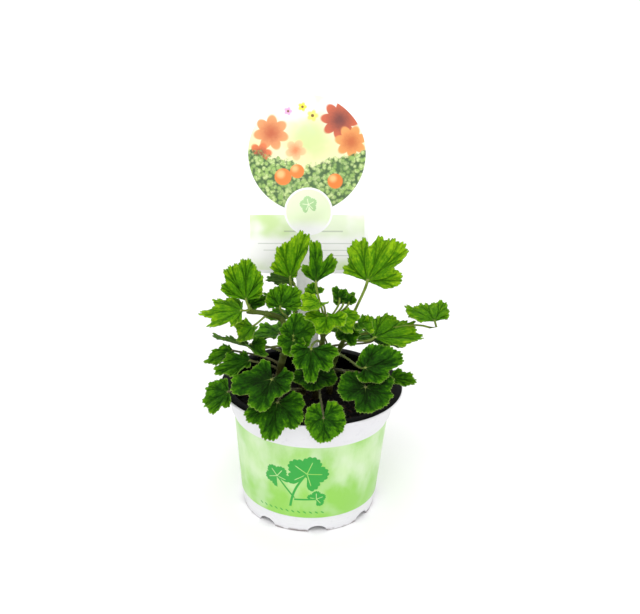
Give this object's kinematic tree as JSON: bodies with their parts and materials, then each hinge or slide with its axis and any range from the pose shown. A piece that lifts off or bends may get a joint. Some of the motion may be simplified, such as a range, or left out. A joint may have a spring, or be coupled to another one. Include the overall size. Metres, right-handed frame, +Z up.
{
  "type": "potted scented geranium",
  "caption": "Leafy scented geranium with lobed leaves, standing in soil in a tapered plastic nursery pot with a stake label behind it.",
  "frame": {"origin": "middle of the rectangle that the whole plant covers seen from above, on the surface that the pot stands on", "axes": "+Z up, -Y towards the front, which the label faces, +X to the right seen from the front"},
  "size_m": [0.1736, 0.1588, 0.2916],
  "materials": {
    "pot_plastic": "satin white thermoformed plastic, black inside and on top of the rim, with a pale green printed band",
    "potting_soil": "loose, damp, nearly black peat and bark potting mix",
    "label_card": "thin white plastic card with a printed round picture and a printed panel",
    "geranium_foliage": "soft, hairy, matt green leaves with paler margins, on pale green petioles and browner stems"
  },
  "bodies": {
    "root": {"pot": "pot_plastic", "soil": "potting_soil", "plant_label": "label_card", "stem_left": "geranium_foliage", "stem_middle": "geranium_foliage", "stem_crown": "geranium_foliage", "stem_right": "geranium_foliage", "stem_back": "geranium_foliage"}
  },
  "joints": []
}
